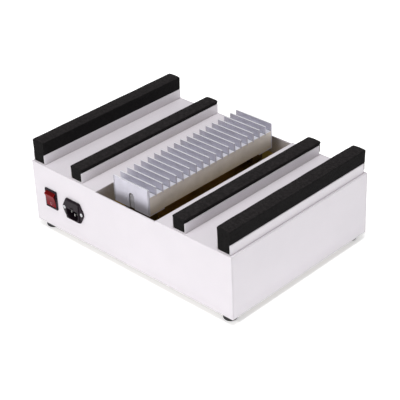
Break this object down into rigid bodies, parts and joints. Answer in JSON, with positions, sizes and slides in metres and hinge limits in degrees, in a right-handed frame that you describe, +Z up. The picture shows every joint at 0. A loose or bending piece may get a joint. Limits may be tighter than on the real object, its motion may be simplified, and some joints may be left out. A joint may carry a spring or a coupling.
{
  "type": "dry block heater",
  "caption": "Bench dry block heater: a finned aluminium block in an open trough of a white sheet-metal case, with foam-topped rails, a rocker switch and a fused mains inlet.",
  "frame": {"origin": "middle of the whole object's footprint, at the soles of the feet", "axes": "+X runs along the switch face from the switch end to the plain end, +Y from the switch face to the back, +Z up"},
  "size_m": [0.4, 0.294, 0.1492],
  "materials": {
    "white_paint": "satin white powder coat on sheet steel",
    "black_foam": "matt closed-cell sponge with a fine open skin on its cut faces",
    "block_aluminium": "bead-blasted clear anodised",
    "fin_aluminium": "clear anodised sheet with sheared edges",
    "golden_steel": "yellow-passivated zinc on sheet steel",
    "phenolic": "dark brown moulded phenolic",
    "black_plastic": "moulded black nylon, half gloss",
    "red_plastic": "translucent red polycarbonate",
    "tinned_brass": "tin-plated brass",
    "brass": "turned brass",
    "zinc_screw": "bright zinc plate",
    "foot_rubber": "moulded black rubber",
    "silicone": "red-brown silicone rubber",
    "mica": "pressed mica sheet",
    "heater_foil": "stainless-sheathed flat heater",
    "ceramic": "glazed steatite",
    "glass": "clear glass tube with plated caps",
    "neon_glass": "clear glass bulb",
    "wire_brown": "brown insulated wire",
    "wire_blue": "blue insulated wire",
    "wire_green": "green and yellow insulated wire",
    "wire_glass": "glass-sleeved heat-proof wire"
  },
  "bodies": {
    "housing": {"back_end_plate": "fin_aluminium", "back_left_foot": "foot_rubber", "back_panel": "white_paint", "back_right_foot": "foot_rubber", "back_support": "phenolic", "base_plate": "white_paint", "block_fins": "fin_aluminium", "blue_lead": "wire_blue", "brown_leads": "wire_brown", "earth_lead": "wire_green", "earth_nut": "brass", "earth_ring": "tinned_brass", "earth_stud": "brass", "floor_grommet": "silicone", "foot_nuts": "zinc_screw", "foot_screws": "zinc_screw", "front_end_plate": "fin_aluminium", "front_left_foot": "foot_rubber", "front_panel": "white_paint", "front_right_foot": "foot_rubber", "front_support": "phenolic", "heater_cover_plate": "golden_steel", "heater_cover_screws": "zinc_screw", "heater_end_caps": "heater_foil", "heater_leads": "wire_glass", "heating_block": "block_aluminium", "heating_element": "heater_foil", "inlet_body": "black_plastic", "inlet_nuts": "zinc_screw", "inlet_pins": "tinned_brass", "inlet_screws": "zinc_screw", "inner_left_foam": "black_foam", "inner_left_rail": "white_paint", "inner_right_foam": "black_foam", "inner_right_rail": "white_paint", "left_cover": "white_paint", "mica_sheet": "mica", "outer_left_foam": "black_foam", "outer_left_rail": "white_paint", "outer_right_foam": "black_foam", "outer_right_rail": "white_paint", "panel_screws": "zinc_screw", "rail_nuts": "zinc_screw", "rail_screws": "zinc_screw", "right_cover": "white_paint", "support_screws": "zinc_screw", "switch_frame": "black_plastic", "switch_lamp": "neon_glass", "switch_terminals": "tinned_brass", "terminal_block": "ceramic", "terminal_screws": "zinc_screw", "terminal_sleeves": "brass", "thermal_fuse": "tinned_brass", "thermostat": "tinned_brass", "thermostat_screws": "zinc_screw", "trough_floor": "golden_steel"},
    "rocker": {"switch_rocker": "red_plastic"},
    "fuse_drawer": {"fuse_drawer": "black_plastic", "fuse": "glass", "spare_fuse": "glass"}
  },
  "joints": [
    {"name": "rocker_hinge", "type": "hinge", "parent": "housing", "child": "rocker", "pos_m": [-0.1615, -0.13749, 0.0605], "axis": [1, 0, 0], "range_deg": [-20, 0]},
    {"name": "fuse_drawer_slide", "type": "slide", "parent": "housing", "child": "fuse_drawer", "axis": [0, -1, 0], "range_m": [0, 0.017]}
  ]
}
